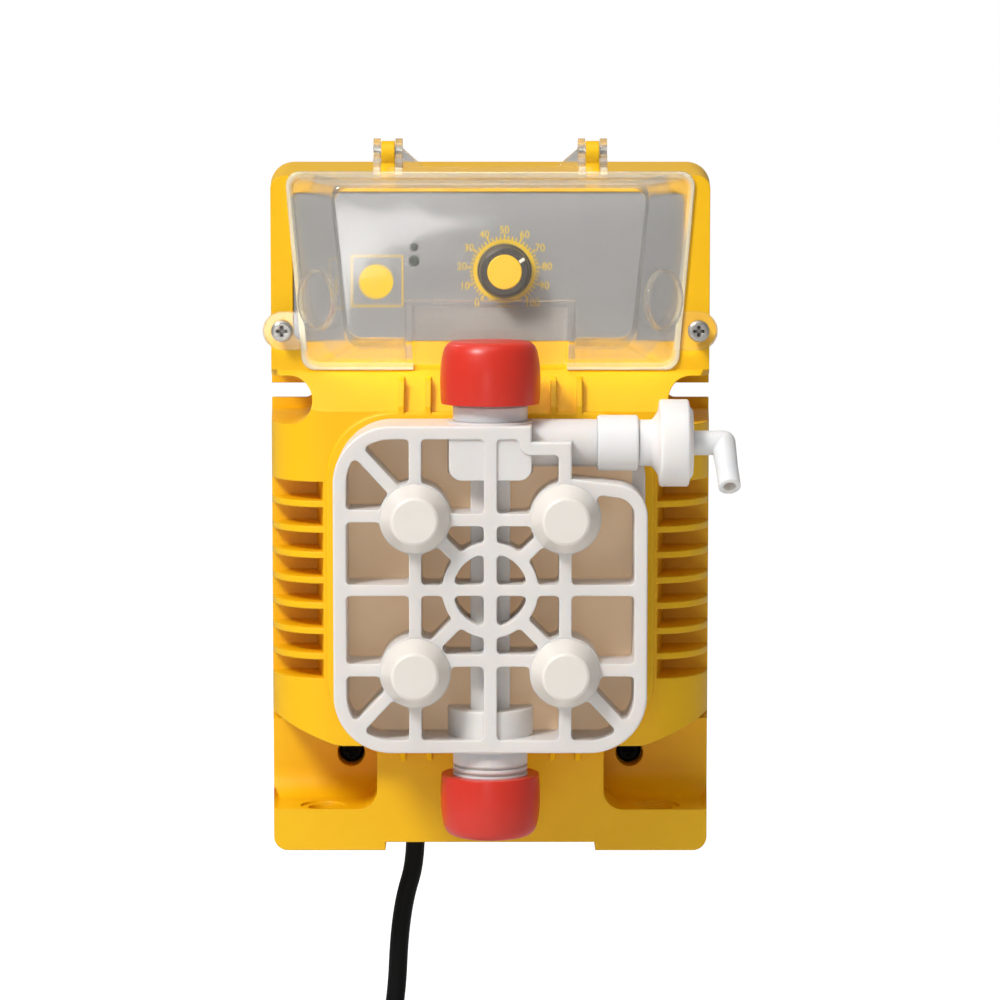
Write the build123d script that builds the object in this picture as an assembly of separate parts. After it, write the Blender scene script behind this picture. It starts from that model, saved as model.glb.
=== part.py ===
from build123d import *
from math import cos, pi, radians, sin, sqrt, tan
import os

# Wall-mounted solenoid diaphragm dosing pump, in millimetres.
# The wall is the plane Y = 0 and the pump stands out of it towards -Y, +Z is up and X is across.
# The origin lies on the back face, midway between the two slots for the wall screws.

# Case
CASE_TOP = 68.3
CASE_BOTTOM = -129.2
CASE_HALF = 65.6
CASE_CORNER = 7.0
DRAFT = 3.2
BACK_THICK = 4.0
FACE_Y = -60.0
WAIST_Y = -50.0
BOSS_Y = -72.0
FOOT_CORNER = 4.0
FOOT_TOP = -117.2
POCKET_TOP = -90.6
FOOT_FRONT_NOTCH = 30.3
NOTCH_DEPTH = 2.4

# Wall slots and the side recesses that reach them
SLOT_WIDTH = 4.5
SLOT_INNER = 53.3
RECESS_Z = 1.5
RECESS_HALF = 6.75
RECESS_INNER = 50.5

# Cooling fins
FIN_COUNT = 9
FIN_PITCH = 7.26
FIN_THICK = 1.8
FIN_MID_Z = -49.4

# Pump head, centred on the drive axis
HEAD_Z = -48.7
HEAD_WIDTH = 87.0
HEAD_HEIGHT = 91.2
HEAD_CORNER = 16.0
HEAD_FRONT_Y = -98.0
HEAD_FLOOR_Y = -80.5
RIM = 3.6
RIB = 3.4
BOLT_X = 20.8
BOLT_Z = 21.5
BOLT_DROP = 1.5
VALVE_Y = -85.0
CHANNEL_RADIUS = 2.5
DIAPHRAGM_RADIUS = 25.0

# Check valves
FITTING_RADIUS = 10.45
BALL_RADIUS = 3.175
SEAT_HOLE = 2.2
SEAT_THICK = 2.0
BALL_LIFT = 1.5
DISCHARGE_FACE = -2.5
SUCTION_FACE = -94.8
CAP_LENGTH = 17.4

# Bleed valve, on an axis across the pump
BLEED_Z = -8.8

# Drive
ROD_RADIUS = 3.98
ROD_BORE = 4.03
ARMATURE_RADIUS = 10.95
BOBBIN_BORE = 11.0

# Control panel and its clear cover
PANEL_Z = 39.3
DIAL_X = 4.05
DIAL_Z = 38.1
EAR_X = 59.1
EAR_Z = 21.2
HINGE_Y = -58.0
HINGE_Z = 71.5
LUG_X = 29.0
COVER_FRONT_Y = -78.5
ARCH_HALF = 21.9
ARCH_TOP = 28.8

# Mains lead
CORD_RADIUS = 2.8
CORD_EXIT = (-22.3, -25.0, -130.0)
COIL_CENTRE = (1.0, -25.0, -233.0)
COIL_RADIUS = 31.0
BUNDLE_RADIUS = 10.5

LEFT_RIGHT = (-1, 1)
made = {}


def block(x0, x1, y0, y1, z0, z1):
    """Box between two corners."""
    size = Box(abs(x1 - x0), abs(y1 - y0), abs(z1 - z0))
    return Pos((x0 + x1) / 2, (y0 + y1) / 2, (z0 + z1) / 2) * size


def rod(radius, start, end, end_radius=None):
    """Cylinder or cone between two points."""
    path = Vector(*end) - Vector(*start)
    plane = Plane(origin=start, z_dir=path)
    low = (Align.CENTER, Align.CENTER, Align.MIN)
    if end_radius is None:
        return plane * Cylinder(radius, path.length, align=low)
    return plane * Cone(radius, end_radius, path.length, align=low)


def wall_plane(y, x=0.0, z=0.0):
    """Plane parallel to the wall that looks out of it."""
    return Plane(origin=(x, y, z), x_dir=(1, 0, 0), z_dir=(0, -1, 0))


def slab(width, height, corner, y_back, y_front, x=0.0, z=0.0, draft=0.0):
    """Plate parallel to the wall with rounded corners."""
    face = wall_plane(y_back, x, z) * RectangleRounded(width, height, corner)
    return extrude(face, y_back - y_front, taper=draft)


def front_prism(points, y_back, y_front):
    """Outline seen from the front, given depth."""
    face = wall_plane(y_back) * make_face(Polyline(*points, close=True))
    return extrude(face, y_back - y_front)


def side_prism(points, x0, x1):
    """Outline in Y and Z, given width along X."""
    face = Plane.YZ.offset(x0) * make_face(Polyline(*points, close=True))
    return extrude(face, x1 - x0)


def plan_prism(points, z0, z1):
    """Outline in X and Y, given height."""
    face = Plane.XY.offset(z0) * make_face(Polyline(*points, close=True))
    return extrude(face, z1 - z0)


def turned(points, axis):
    """Outline of (radius, distance) points turned about an axis."""
    plane = Plane(origin=axis.position, z_dir=axis.direction)
    profile = Plane.XZ * make_face(Polyline(*points, close=True))
    return plane * revolve(profile, Axis.Z)


def joined(shapes):
    """One solid from shapes that overlap or touch."""
    first, *others = shapes
    return first + others if others else first


def group(shapes):
    """Separate solids kept in one node."""
    return Compound(children=[solid for shape in shapes for solid in shape.solids()])


def drive_point(y, x=0.0, z=0.0):
    """Point given from the drive axis."""
    return (x, y, HEAD_Z + z)


def bolt_places():
    return [(x * BOLT_X, z * BOLT_Z - BOLT_DROP) for x in LEFT_RIGHT for z in LEFT_RIGHT]


def slot_places():
    return [side * (SLOT_INNER + SLOT_WIDTH / 2) for side in LEFT_RIGHT]


# ---------------------------------------------------------------- case

def case_block():
    """Drafted outer block with a flat base and rounded foot corners."""
    tall = CASE_TOP + 160
    whole = slab(2 * CASE_HALF, tall, CASE_CORNER, -BACK_THICK, FACE_Y, 0, CASE_TOP - tall / 2, DRAFT)
    whole -= block(-90, 90, 10, -90, CASE_BOTTOM - 60, CASE_BOTTOM)
    corners = [e for e in whole.edges().filter_by(GeomType.LINE)
               if abs(e.center().X) > 58 and abs(e.center().Z - CASE_BOTTOM) < 0.1
               and abs(e.center().Y - (FACE_Y - BACK_THICK) / 2) < 3]
    return fillet(corners, FOOT_CORNER)


def shoulders():
    """Bulge round the drive: elliptical shoulders that run from the sides to the boss."""
    outer, inner, low, high = 62.9, 46.5, -97.0, 9.9
    plan = make_face([
        Line((-outer, -34), (-outer, WAIST_Y)),
        EllipticalCenterArc((-inner, WAIST_Y), outer - inner, 20, 180, arc_size=90),
        Line((-inner, WAIST_Y - 20), (inner, WAIST_Y - 20)),
        EllipticalCenterArc((inner, WAIST_Y), outer - inner, 20, 270, arc_size=90),
        Line((outer, WAIST_Y), (outer, -34)),
        Line((outer, -34), (-outer, -34)),
    ])
    bulge = extrude(Plane.XY.offset(low) * plan, high - low)
    outline = wall_plane(-34) * make_face(Polyline(
        (-70, high), (70, high), (70, -87.5), (64, -88.5), (44, low), (-44, low), (-64, -88.5), (-70, -87.5),
        close=True))
    bent = [v for v in outline.vertices() if v.Z < -88]
    bulge &= extrude(fillet(bent, 10), 50)
    return bulge - side_prism([(FACE_Y, high + 0.1), (-80, high + 0.1), (-80, -12.5)], -70, 70)


def foot_pocket(side):
    """Scoop over a foot, open to the front and to the side, with rounded inner corners."""
    face = wall_plane(-30) * make_face(Polyline(
        (side * 32.7, POCKET_TOP), (side * 63.5, POCKET_TOP), (side * 63.5, FOOT_TOP), (side * 32.7, FOOT_TOP),
        close=True))
    face = fillet([v for v in face.vertices() if v.Z < FOOT_TOP + 1 and abs(v.X) > 60], 2.5)
    face = fillet([v for v in face.vertices() if v.Z < FOOT_TOP + 1 and abs(v.X) < 40], 5.5)
    scoop = extrude(face, 60) + block(side * 58, side * 70, -30, -90, FOOT_TOP + 2.5, POCKET_TOP)
    profile = Plane.YZ.offset(-70) * make_face(Polyline(
        (-35, -80), (-35, FOOT_TOP), (-75, FOOT_TOP), (-75, -80), close=True))
    profile = fillet([v for v in profile.vertices() if v.Y > -40 and v.Z < -100], 8)
    return scoop & extrude(profile, 140)


def side_recess(side):
    """Round-ended recess in the side that gives a screwdriver room at a wall slot."""
    centre = side * (RECESS_INNER + RECESS_HALF)
    shape = rod(RECESS_HALF, (centre, 0, RECESS_Z), (centre, -90, RECESS_Z))
    return shape + block(centre, side * 90, 0, -90, RECESS_Z - RECESS_HALF, RECESS_Z + RECESS_HALF)


def fin_gap(side, z):
    """Space between two fins, with a drafted inner wall."""
    half = (FIN_PITCH - FIN_THICK) / 2
    points = [(side * 50, WAIST_Y), (side * 75, WAIST_Y), (side * 75, -75), (side * 46.75, -75)]
    return plan_prism(points, z - half, z + half)


def back_outline():
    """Opening of the main cavity at the back, as a flat outline."""
    main = Pos(0, -11.5) * Rectangle(118, 149)
    throat = Pos(0, -93.25) * Rectangle(59.4, 14.5)
    notches = [Pos(side * 57, RECESS_Z) * Rectangle(20, 2 * RECESS_HALF + 6) for side in LEFT_RIGHT]
    return main + throat - notches


def upper_screws():
    return [(side * 51.5, 56.0) for side in LEFT_RIGHT]


def lower_screws():
    return [(side * 41.0, -104.9) for side in LEFT_RIGHT]


def cavity():
    """Hollow inside of the case, less the screw columns and board posts."""
    main = extrude(wall_plane(-BACK_THICK) * back_outline(), 43)
    panel_room = block(-56, 56, -46, -57, 14, 62)
    drive_room = block(-43, 43, -46, -66, -90, -8)
    heels = [block(side * 33, side * 60, -BACK_THICK, -32, -125, -92) for side in LEFT_RIGHT]
    hollow = joined([main, panel_room, drive_room] + heels)
    for x, z in upper_screws():
        hollow -= rod(4.6, (x, 0, z), (x, -30, z)) + block(x, 1.3 * x, 0, -30, z - 4.6, z + 4.6)
    for x, z in lower_screws():
        hollow -= rod(6.0, (x, 0, z), (x, -40, z))
    for x, z in board_holes():
        hollow -= rod(3.0, (x, -50, z), (x, -60, z))
    return hollow


def front_housing():
    case = case_block()
    case -= block(-90, 90, WAIST_Y, -90, -90.5, 9.9)
    for side in LEFT_RIGHT:
        case -= foot_pocket(side)
    case += shoulders()
    case += fillet(slab(93, 94.8, 18.5, FACE_Y, BOSS_Y, 0, HEAD_Z).edges().group_by(Axis.Y)[0], 0.8)
    for x in (-25.2, -17.6, 17.9, 25.2):
        case += side_prism([(-59, 8.6), (-66.3, 7.2), (-72, 0.3), (-72, -3), (-59, -3)], x - 0.8, x + 0.8)
        case += side_prism([(-59, -95), (-71.5, -95), (-71.5, -96.6), (-59, -103.5)], x - 0.8, x + 0.8)
    for side in LEFT_RIGHT:
        for i in range(FIN_COUNT - 1):
            case -= fin_gap(side, FIN_MID_Z + FIN_PITCH * (i - (FIN_COUNT - 2) / 2))
        case += rod(5.3, (side * EAR_X, -48, EAR_Z), (side * EAR_X, FACE_Y, EAR_Z))
        case += block(side * LUG_X - 1.9, side * LUG_X + 1.9, HINGE_Y + 3.4, HINGE_Y - 2.0, 62, HINGE_Z)
        case += rod(3.4, (side * LUG_X - 1.9, HINGE_Y, HINGE_Z), (side * LUG_X + 1.9, HINGE_Y, HINGE_Z))
    case -= cavity()
    for side in LEFT_RIGHT:
        case -= side_recess(side)
        case -= rod(4.25, (side * 48.5, -53, -140), (side * 48.5, -53, -110))
        case -= rod(6.5, (side * 48.5, -53, FOOT_TOP - 0.6), (side * 48.5, -53, -110))
        case -= rod(2.1, (side * EAR_X, -50, EAR_Z), (side * EAR_X, -61, EAR_Z))
    hinge_bore = rod(1.5, (-40, HINGE_Y, HINGE_Z), (40, HINGE_Y, HINGE_Z))
    case -= hinge_bore
    # Cable room under the case, open downwards, with the hole for the cable bush in its roof
    case -= block(-29, 29, -8, -56.5, -140, -104)
    case -= block(-FOOT_FRONT_NOTCH, FOOT_FRONT_NOTCH, 5, -90, -140, CASE_BOTTOM + NOTCH_DEPTH)
    case -= rod(5.0, (CORD_EXIT[0], CORD_EXIT[1], -110), (CORD_EXIT[0], CORD_EXIT[1], -95))
    # Screw holes: two deep ones from the foot pockets, two blind ones from the back
    for x, z in lower_screws():
        case -= rod(4.05, (x, -28, z), (x, -45, z)) + rod(1.8, (x, 0, z), (x, -30, z))
    for x, z in upper_screws():
        case -= rod(1.75, (x, 0, z), (x, -26, z))
    for x, z in board_holes():
        case -= rod(1.25, (x, -49, z), (x, -55, z))
    # Seat of the diaphragm flange, and the head bolts
    case -= rod(25.0, drive_point(-60), drive_point(-73))
    for x, z in bolt_places():
        case -= rod(2.6, drive_point(-60, x, z), drive_point(-75, x, z))
    # Panel window and the seal groove in the back edge
    case -= slab(110.8, 42.5, 3, -58.8, -61, -0.8, PANEL_Z)
    case -= rod(4.2, (DIAL_X, -50, DIAL_Z), (DIAL_X, -60, DIAL_Z))
    for z in (40.9, 44.9):
        case -= rod(1.7, (-21.7, -50, z), (-21.7, -60, z))
    return case - extrude(wall_plane(-BACK_THICK) * seal_ring(), 1.2)


def seal_ring():
    """Flat outline of the seal between the two halves of the case."""
    return offset(back_outline(), 1.9) - offset(back_outline(), 0.5)


def back_cover():
    """Rear plate with open slots for the wall screws."""
    tall = CASE_TOP + 160
    plate = slab(2 * CASE_HALF, tall, CASE_CORNER, 0, -BACK_THICK, 0, CASE_TOP - tall / 2)
    plate -= block(-90, 90, 10, -90, CASE_BOTTOM - 60, CASE_BOTTOM)
    feet = [e for e in plate.edges().filter_by(Axis.Y) if e.center().Z < CASE_BOTTOM + 1]
    plate = fillet(feet, FOOT_CORNER)
    plate -= block(-FOOT_FRONT_NOTCH, FOOT_FRONT_NOTCH, 5, -10, -140, CASE_BOTTOM + NOTCH_DEPTH)
    for x in slot_places():
        plate -= rod(SLOT_WIDTH / 2, (x, 5, 0), (x, -10, 0))
        plate -= block(x, 1.5 * x, 5, -10, -SLOT_WIDTH / 2, SLOT_WIDTH / 2)
    for x, z in upper_screws():
        plate -= rod(1.8, (x, 5, z), (x, -10, z)) + rod(3.7, (x, 5, z), (x, -2.2, z))
    for x, z in lower_screws():
        plate -= rod(1.5, (x, 5, z), (x, -10, z))
    return plate


def cross_screw(head_radius, head_height, shank_radius, start, direction, length):
    """Pan-head screw with a cross recess; start is the underside of its head."""
    plane = Plane(origin=start, z_dir=direction)
    low = (Align.CENTER, Align.CENTER, Align.MIN)
    head = Cylinder(head_radius, head_height, align=low)
    head = fillet(head.edges().group_by(Axis.Z)[-1], 0.35 * head_height)
    shank = Cylinder(shank_radius, length, align=(Align.CENTER, Align.CENTER, Align.MAX))
    arm = Box(head_radius, 0.28 * head_radius, head_height)
    recess = Pos(0, 0, head_height) * (arm + Rot(0, 0, 90) * arm)
    return plane * (head + shank - recess)


def housing_screws():
    lower = [cross_screw(3.6, 2.8, 1.5, (x, -28, z), (0, -1, 0), 27) for x, z in lower_screws()]
    upper = [cross_screw(3.5, 1.8, 1.75, (x, -2.2, z), (0, 1, 0), 20) for x, z in upper_screws()]
    return group(lower + upper)


# ---------------------------------------------------------------- control panel

def board_holes():
    return [(x, z) for x in (-48, 48) for z in (21, 57)]


def control_panel():
    panel = slab(110.4, 42.1, 2.8, -58.8, -59.5, -0.8, PANEL_Z)
    panel -= rod(3.3, (DIAL_X, -50, DIAL_Z), (DIAL_X, -62, DIAL_Z))
    for radius, z in ((1.55, 40.9), (1.15, 44.9)):
        panel -= rod(radius, (-21.7, -50, z), (-21.7, -62, z))
    return panel


def indicator_lights():
    lights = []
    for radius, z in ((1.55, 40.9), (1.15, 44.9)):
        lights.append(rod(radius, (-21.7, -50, z), (-21.7, -59.7, z)))
    return group(lights)


def dial_knob():
    """Knurled knob with a hollow for its coloured cap and a raised pointer."""
    axis = Axis((DIAL_X, -60.1, DIAL_Z), (0, -1, 0))
    knob = turned([(0, 0), (7.7, 0), (7.5, 1.4), (7.2, 1.5), (6.9, 8.0), (6.3, 8.4), (0, 8.4)], axis)
    for i in range(24):
        turn = 2 * pi * (i + 0.5) / 24
        foot = (DIAL_X + 7.65 * sin(turn), -61.8, DIAL_Z + 7.65 * cos(turn))
        tip = (DIAL_X + 7.35 * sin(turn), -69, DIAL_Z + 7.35 * cos(turn))
        knob -= rod(0.42, foot, tip)
    knob -= rod(4.9, (DIAL_X, -67.3, DIAL_Z), (DIAL_X, -70, DIAL_Z))
    return knob - rod(3.0, (DIAL_X, -60, DIAL_Z), (DIAL_X, -66, DIAL_Z))


def dial_cap():
    cap = rod(4.9, (DIAL_X, -67.3, DIAL_Z), (DIAL_X, -68.9, DIAL_Z))
    return fillet(cap.edges().group_by(Axis.Y)[0], 0.4)


def dial_shaft():
    return rod(3.0, (DIAL_X, -56.6, DIAL_Z), (DIAL_X, -66, DIAL_Z))


def potentiometer():
    body = block(DIAL_X - 8, DIAL_X + 8, -50, -56.0, DIAL_Z - 9, DIAL_Z + 8)
    return body - rod(3.05, (DIAL_X, -55, DIAL_Z), (DIAL_X, -60, DIAL_Z))


def circuit_board():
    board = block(-52, 52, -48.4, -50, 18, 60)
    for x, z in board_holes():
        board -= rod(1.6, (x, -40, z), (x, -60, z))
    return board


def board_screws():
    return group([cross_screw(2.6, 1.8, 1.25, (x, -48.4, z), (0, 1, 0), 6) for x, z in board_holes()])


def terminal_block():
    body = block(-34, -2, -48.4, -37, 22, 33)
    for i in range(5):
        x = -30.8 + 6.4 * i
        body -= rod(1.5, (x, -42, 20), (x, -42, 30)) + rod(1.9, (x, -39, 27.5), (x, -36, 27.5))
    return body


def smoothing_capacitor():
    can = rod(8.0, (28, -48.4, 32), (28, -24, 32))
    return fillet(can.edges().group_by(Axis.Y)[-1], 1.0)


def power_resistor():
    return block(-40, -12, -48.4, -41, 42, 51)


# ---------------------------------------------------------------- clear cover

def cover_outline(half_top, half_low, top, low, corner, y):
    """Rounded trapezium on a plane parallel to the wall."""
    face = wall_plane(y) * make_face(Polyline(
        (-half_top, top), (half_top, top), (half_low, low), (-half_low, low), close=True))
    return fillet(face.vertices(), corner)


def cover_outer():
    return loft([cover_outline(58.4, 53.6, 66.3, 9.9, 4.0, -61.0),
                 cover_outline(44.8, 40.6, 63.6, 18.1, 5.0, COVER_FRONT_Y)])


def cover_inner():
    return loft([cover_outline(56.4, 51.6, 64.3, 12.1, 3.0, -60.9),
                 cover_outline(43.7, 39.4, 61.8, 20.0, 3.5, COVER_FRONT_Y + 1.9)])


def side_wall_plane(side):
    """Plane on the middle of a sloping side wall of the cover, where a cable exit can be opened."""
    run = Vector(side * -13.3, -17.5, 0).normalized()
    normal = Vector(run.Y * -side, run.X * side, 0)
    return Plane(origin=(side * 48.2, -71.3, 30.4), x_dir=run, z_dir=normal)


def clear_cover():
    outer = fillet(cover_outer().edges().group_by(Axis.Y)[0], 2.2)
    inner = cover_inner()
    for side in LEFT_RIGHT:
        outer += rod(5.5, (side * EAR_X, -61, EAR_Z), (side * EAR_X, -63.6, EAR_Z))
        outer += block(side * 48, side * EAR_X, -61, -63.6, EAR_Z - 5.5, EAR_Z + 5.5)
    arch = block(-ARCH_HALF - 2, ARCH_HALF + 2, -61, -90, 0, ARCH_TOP + 1.4) & cover_outer()
    cover = outer - inner + arch - block(-ARCH_HALF, ARCH_HALF, -50, -90, 0, ARCH_TOP)
    cover += block(-LUG_X, LUG_X, -61, -63, 64, 67.6)
    for side in LEFT_RIGHT:
        cover -= rod(1.9, (side * EAR_X, -60, EAR_Z), (side * EAR_X, -65, EAR_Z))
        mark = side_wall_plane(side)
        low = (Align.CENTER, Align.CENTER, Align.MIN)
        cover += (mark * (Cylinder(8.7, 1.5, align=low) - Cylinder(7.9, 1.5, align=low))) - inner
        for edge in LEFT_RIGHT:
            x0 = side * LUG_X + edge * 2.1
            x1 = side * LUG_X + edge * 4.1
            cheek = [(-61, 64), (-66.5, 64), (-66.5, 66), (HINGE_Y - 4.1, HINGE_Z), (HINGE_Y + 4.0, HINGE_Z),
                     (-61, 67)]
            cover += side_prism(cheek, x0, x1)
            cover += rod(4.1, (x0, HINGE_Y, HINGE_Z), (x1, HINGE_Y, HINGE_Z))
        web = [(side * (LUG_X - 4.1), 66), (side * (LUG_X - 4.1), 73), (side * (LUG_X - 10.5), 67.4),
               (side * (LUG_X - 10.5), 66)]
        cover += front_prism(web, -61.2, -62.8)
    return cover - rod(1.55, (-40, HINGE_Y, HINGE_Z), (40, HINGE_Y, HINGE_Z))


def cover_gasket():
    """Silicone strip round the rim of the clear cover."""
    ring = cover_outline(58.2, 53.4, 66.1, 10.1, 3.8, -60) - cover_outline(56.6, 51.8, 64.5, 11.9, 3.0, -60)
    strip = extrude(ring, 1.0)
    return strip - block(-ARCH_HALF, ARCH_HALF, -50, -70, 0, ARCH_TOP)


def cover_screws():
    return group([cross_screw(3.1, 2.2, 1.6, (side * EAR_X, -63.6, EAR_Z), (0, -1, 0), 10)
                  for side in LEFT_RIGHT])


def hinge_pins():
    return group([rod(1.5, (side * LUG_X - 4.1, HINGE_Y, HINGE_Z), (side * LUG_X + 4.1, HINGE_Y, HINGE_Z))
                  for side in LEFT_RIGHT])


def splash_shield():
    """Clear plate under the arch of the cover, behind the discharge port."""
    plate = block(-ARCH_HALF + 0.3, ARCH_HALF - 0.3, FACE_Y - 0.1, -62.6, 11.5, ARCH_TOP - 0.4)
    return fillet(plate.edges().group_by(Axis.Y)[0], 0.5)


# ---------------------------------------------------------------- pump head

def head_plane(y):
    return wall_plane(y, 0, HEAD_Z)


def head_outline():
    """Outline of the raised part, cut down at the upper right for the bleed valve."""
    w, h = HEAD_WIDTH / 2, HEAD_HEIGHT / 2
    step_x, step_z = BOLT_X + RIB / 2, 31.0
    face = make_face(Polyline(
        (-w, -h), (w, -h), (w, 28.5), (step_x, step_z), (step_x, 41.2), (11.4, 41.2), (11.4, h), (-w, h), close=True))
    big = face.vertices().filter_by(lambda v: abs(v.X) > w - 1 and not (v.X > 0 and v.Y > 0))
    face = fillet(big, HEAD_CORNER)
    ear = face.vertices().filter_by(lambda v: v.X > w - 1 and abs(v.Y - 28.5) < 0.1)
    return fillet(ear, 9)


def head_ribs():
    """Web of ribs between the rim, the bolts and the centre ring."""
    w, h = HEAD_WIDTH, HEAD_HEIGHT
    bars = [Pos(x, 0) * Rectangle(RIB, h) for x in (-BOLT_X, BOLT_X)]
    bars += [Rectangle(RIM, h), Rectangle(w, 3.0)]
    for z in LEFT_RIGHT:
        bars.append(Pos(0, z * 19.6) * Rectangle(2 * BOLT_X, RIB))
    for x in LEFT_RIGHT:
        for z in LEFT_RIGHT:
            turn = 45 * x * z
            bars.append(Pos(x * 13.5, z * 13.5) * Rot(0, 0, turn) * Rectangle(14, RIB))
            if (x, z) != (1, 1):
                bars.append(Pos(x * 32, z * BOLT_Z - 0.8) * Rectangle(24, RIB))
                bars.append(Pos(x * 31, z * 32.5) * Rot(0, 0, turn * 1.05) * Rectangle(26, RIB))
    rings = [Circle(13.3) - Circle(10.3)]
    rings += [Pos(x, z) * Circle(9.9) for x, z in bolt_places()]
    return joined(bars + rings)


def pump_head():
    """Ribbed head: a full back plate, a raised ribbed part, two valve barrels and the flow channel."""
    plate = extrude(head_plane(BOSS_Y) * RectangleRounded(HEAD_WIDTH, HEAD_HEIGHT, HEAD_CORNER), 8.5)
    raised = extrude(head_plane(BOSS_Y) * head_outline(), 26)
    raised = fillet(raised.edges().filter_by(lambda e: e.center().Y < HEAD_FRONT_Y + 0.01), 0.6)
    cells = offset(head_outline(), -RIM) - head_ribs()
    cells = Sketch() + [offset(offset(cell, -1.3), 1.3) for cell in cells.faces()]
    head = plate + raised - extrude(head_plane(HEAD_FLOOR_Y) * cells, 30)
    head += block(-5.5, 5.5, -80, -91, HEAD_Z - 40, HEAD_Z + 40)
    boss = block(-11.4, 11.4, -80, -97.4, -18.2, -3.2)
    head += fillet(boss.edges().filter_by(Axis.Y).group_by(Axis.Z)[0], 3.5)
    head += rod(12.0, (0, VALVE_Y, -17), (0, VALVE_Y, DISCHARGE_FACE))
    head += rod(12.0, (0, VALVE_Y, -83), (0, VALVE_Y, SUCTION_FACE))
    head += rod(6.6, (11, VALVE_Y, BLEED_Z), (29.8, VALVE_Y, BLEED_Z))
    head -= rod(CHANNEL_RADIUS, (0, VALVE_Y, -90), (0, VALVE_Y, -14))
    head -= rod(CHANNEL_RADIUS, drive_point(-74), drive_point(VALVE_Y))
    head -= rod(8.0, (0, VALVE_Y, -14.6), (0, VALVE_Y, 0))
    head -= rod(4.2, (0, VALVE_Y, -90), (0, VALVE_Y, -81.3))
    head -= rod(8.0, (0, VALVE_Y, -96), (0, VALVE_Y, -88.4))
    head -= block(-4.1, 4.1, VALVE_Y - 0.8, VALVE_Y + 0.8, -88, -79.7)
    head -= block(-0.8, 0.8, VALVE_Y - 4.1, VALVE_Y + 4.1, -88, -79.7)
    head -= rod(3.5, (22, VALVE_Y, BLEED_Z), (30, VALVE_Y, BLEED_Z))
    head -= rod(8.3, (29.8, VALVE_Y, BLEED_Z), (60, VALVE_Y, BLEED_Z))
    head -= rod(1.5, (6, VALVE_Y, BLEED_Z), (20, VALVE_Y, BLEED_Z))
    head -= rod(DIAPHRAGM_RADIUS, drive_point(-71), drive_point(-74.4))
    head -= rod(20.0, drive_point(-74), drive_point(-77.0))
    for x, z in bolt_places():
        head -= rod(2.6, drive_point(-71, x, z), drive_point(-99, x, z))
        head -= rod(4.8, drive_point(-91, x, z), drive_point(-99, x, z))
    return head


def head_bolts():
    bolts = []
    for x, z in bolt_places():
        bolt = rod(2.5, drive_point(-60.2, x, z), drive_point(-91, x, z))
        bolt += rod(4.4, drive_point(-91, x, z), drive_point(-95.6, x, z))
        socket = wall_plane(-92.8, x, HEAD_Z + z) * RegularPolygon(2.3, 6)
        bolts.append(bolt - extrude(socket, 5))
    return group(bolts)


def head_nuts():
    nuts = []
    for x, z in bolt_places():
        nut = extrude(wall_plane(-61.2, x, HEAD_Z + z) * RegularPolygon(4.6, 6), 4.8)
        nuts.append(nut - rod(2.5, drive_point(-60, x, z), drive_point(-67, x, z)))
    return group(nuts)


def bolt_caps():
    """Push-in conical caps over the head bolts."""
    caps = []
    for x, z in bolt_places():
        axis = Axis(drive_point(-98.0, x, z), (0, -1, 0))
        cap = turned([(0, 0), (9.55, 0), (9.55, 0.9), (6.6, 8.1), (5.9, 8.5), (0, 8.5)], axis)
        caps.append(cap + rod(4.75, drive_point(-98, x, z), drive_point(-96, x, z)))
    return group(caps)


def diaphragm():
    disc = rod(DIAPHRAGM_RADIUS - 0.1, drive_point(-72), drive_point(-74.3))
    return disc + rod(7.0, drive_point(-69.6), drive_point(-72))


def diaphragm_flange():
    """Backing plate with a hub that locates the solenoid and carries the rod bush."""
    flange = rod(25.0, drive_point(-66), drive_point(-72)) + rod(14.0, drive_point(-60), drive_point(-67))
    flange -= rod(19.0, drive_point(-69.2), drive_point(-73))
    return flange - rod(6.0, drive_point(-59), drive_point(-70))


def rod_bush():
    return rod(6.0, drive_point(-60), drive_point(-69.2)) - rod(ROD_BORE, drive_point(-59), drive_point(-70))


# ---------------------------------------------------------------- check valves

def discharge_fitting():
    """Threaded nipple whose spigot cages the upper ball."""
    fitting = rod(FITTING_RADIUS, (0, VALVE_Y, DISCHARGE_FACE), (0, VALVE_Y, 9.0))
    fitting += rod(8.0, (0, VALVE_Y, -12.6), (0, VALVE_Y, DISCHARGE_FACE))
    fitting = fillet(fitting.edges().group_by(Axis.Z)[-1], 0.8)
    for i in range(4):
        groove = rod(FITTING_RADIUS + 1, (0, VALVE_Y, 1.6 + 1.8 * i), (0, VALVE_Y, 2.4 + 1.8 * i))
        fitting -= groove - rod(FITTING_RADIUS - 0.8, (0, VALVE_Y, 0), (0, VALVE_Y, 12))
    roof = -14.6 + SEAT_THICK + sqrt(BALL_RADIUS**2 - SEAT_HOLE**2) + BALL_RADIUS + BALL_LIFT + 0.05
    fitting -= rod(4.2, (0, VALVE_Y, -13), (0, VALVE_Y, roof))
    fitting -= block(-4.1, 4.1, VALVE_Y - 0.8, VALVE_Y + 0.8, -13, roof + 1.6)
    fitting -= block(-0.8, 0.8, VALVE_Y - 4.1, VALVE_Y + 4.1, -13, roof + 1.6)
    fitting -= rod(2.6, (0, VALVE_Y, -13), (0, VALVE_Y, 11))
    groove = rod(10.0, (0, VALVE_Y, -3), (0, VALVE_Y, -0.9)) - rod(8.0, (0, VALVE_Y, -4), (0, VALVE_Y, 0))
    return fitting - groove


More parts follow.
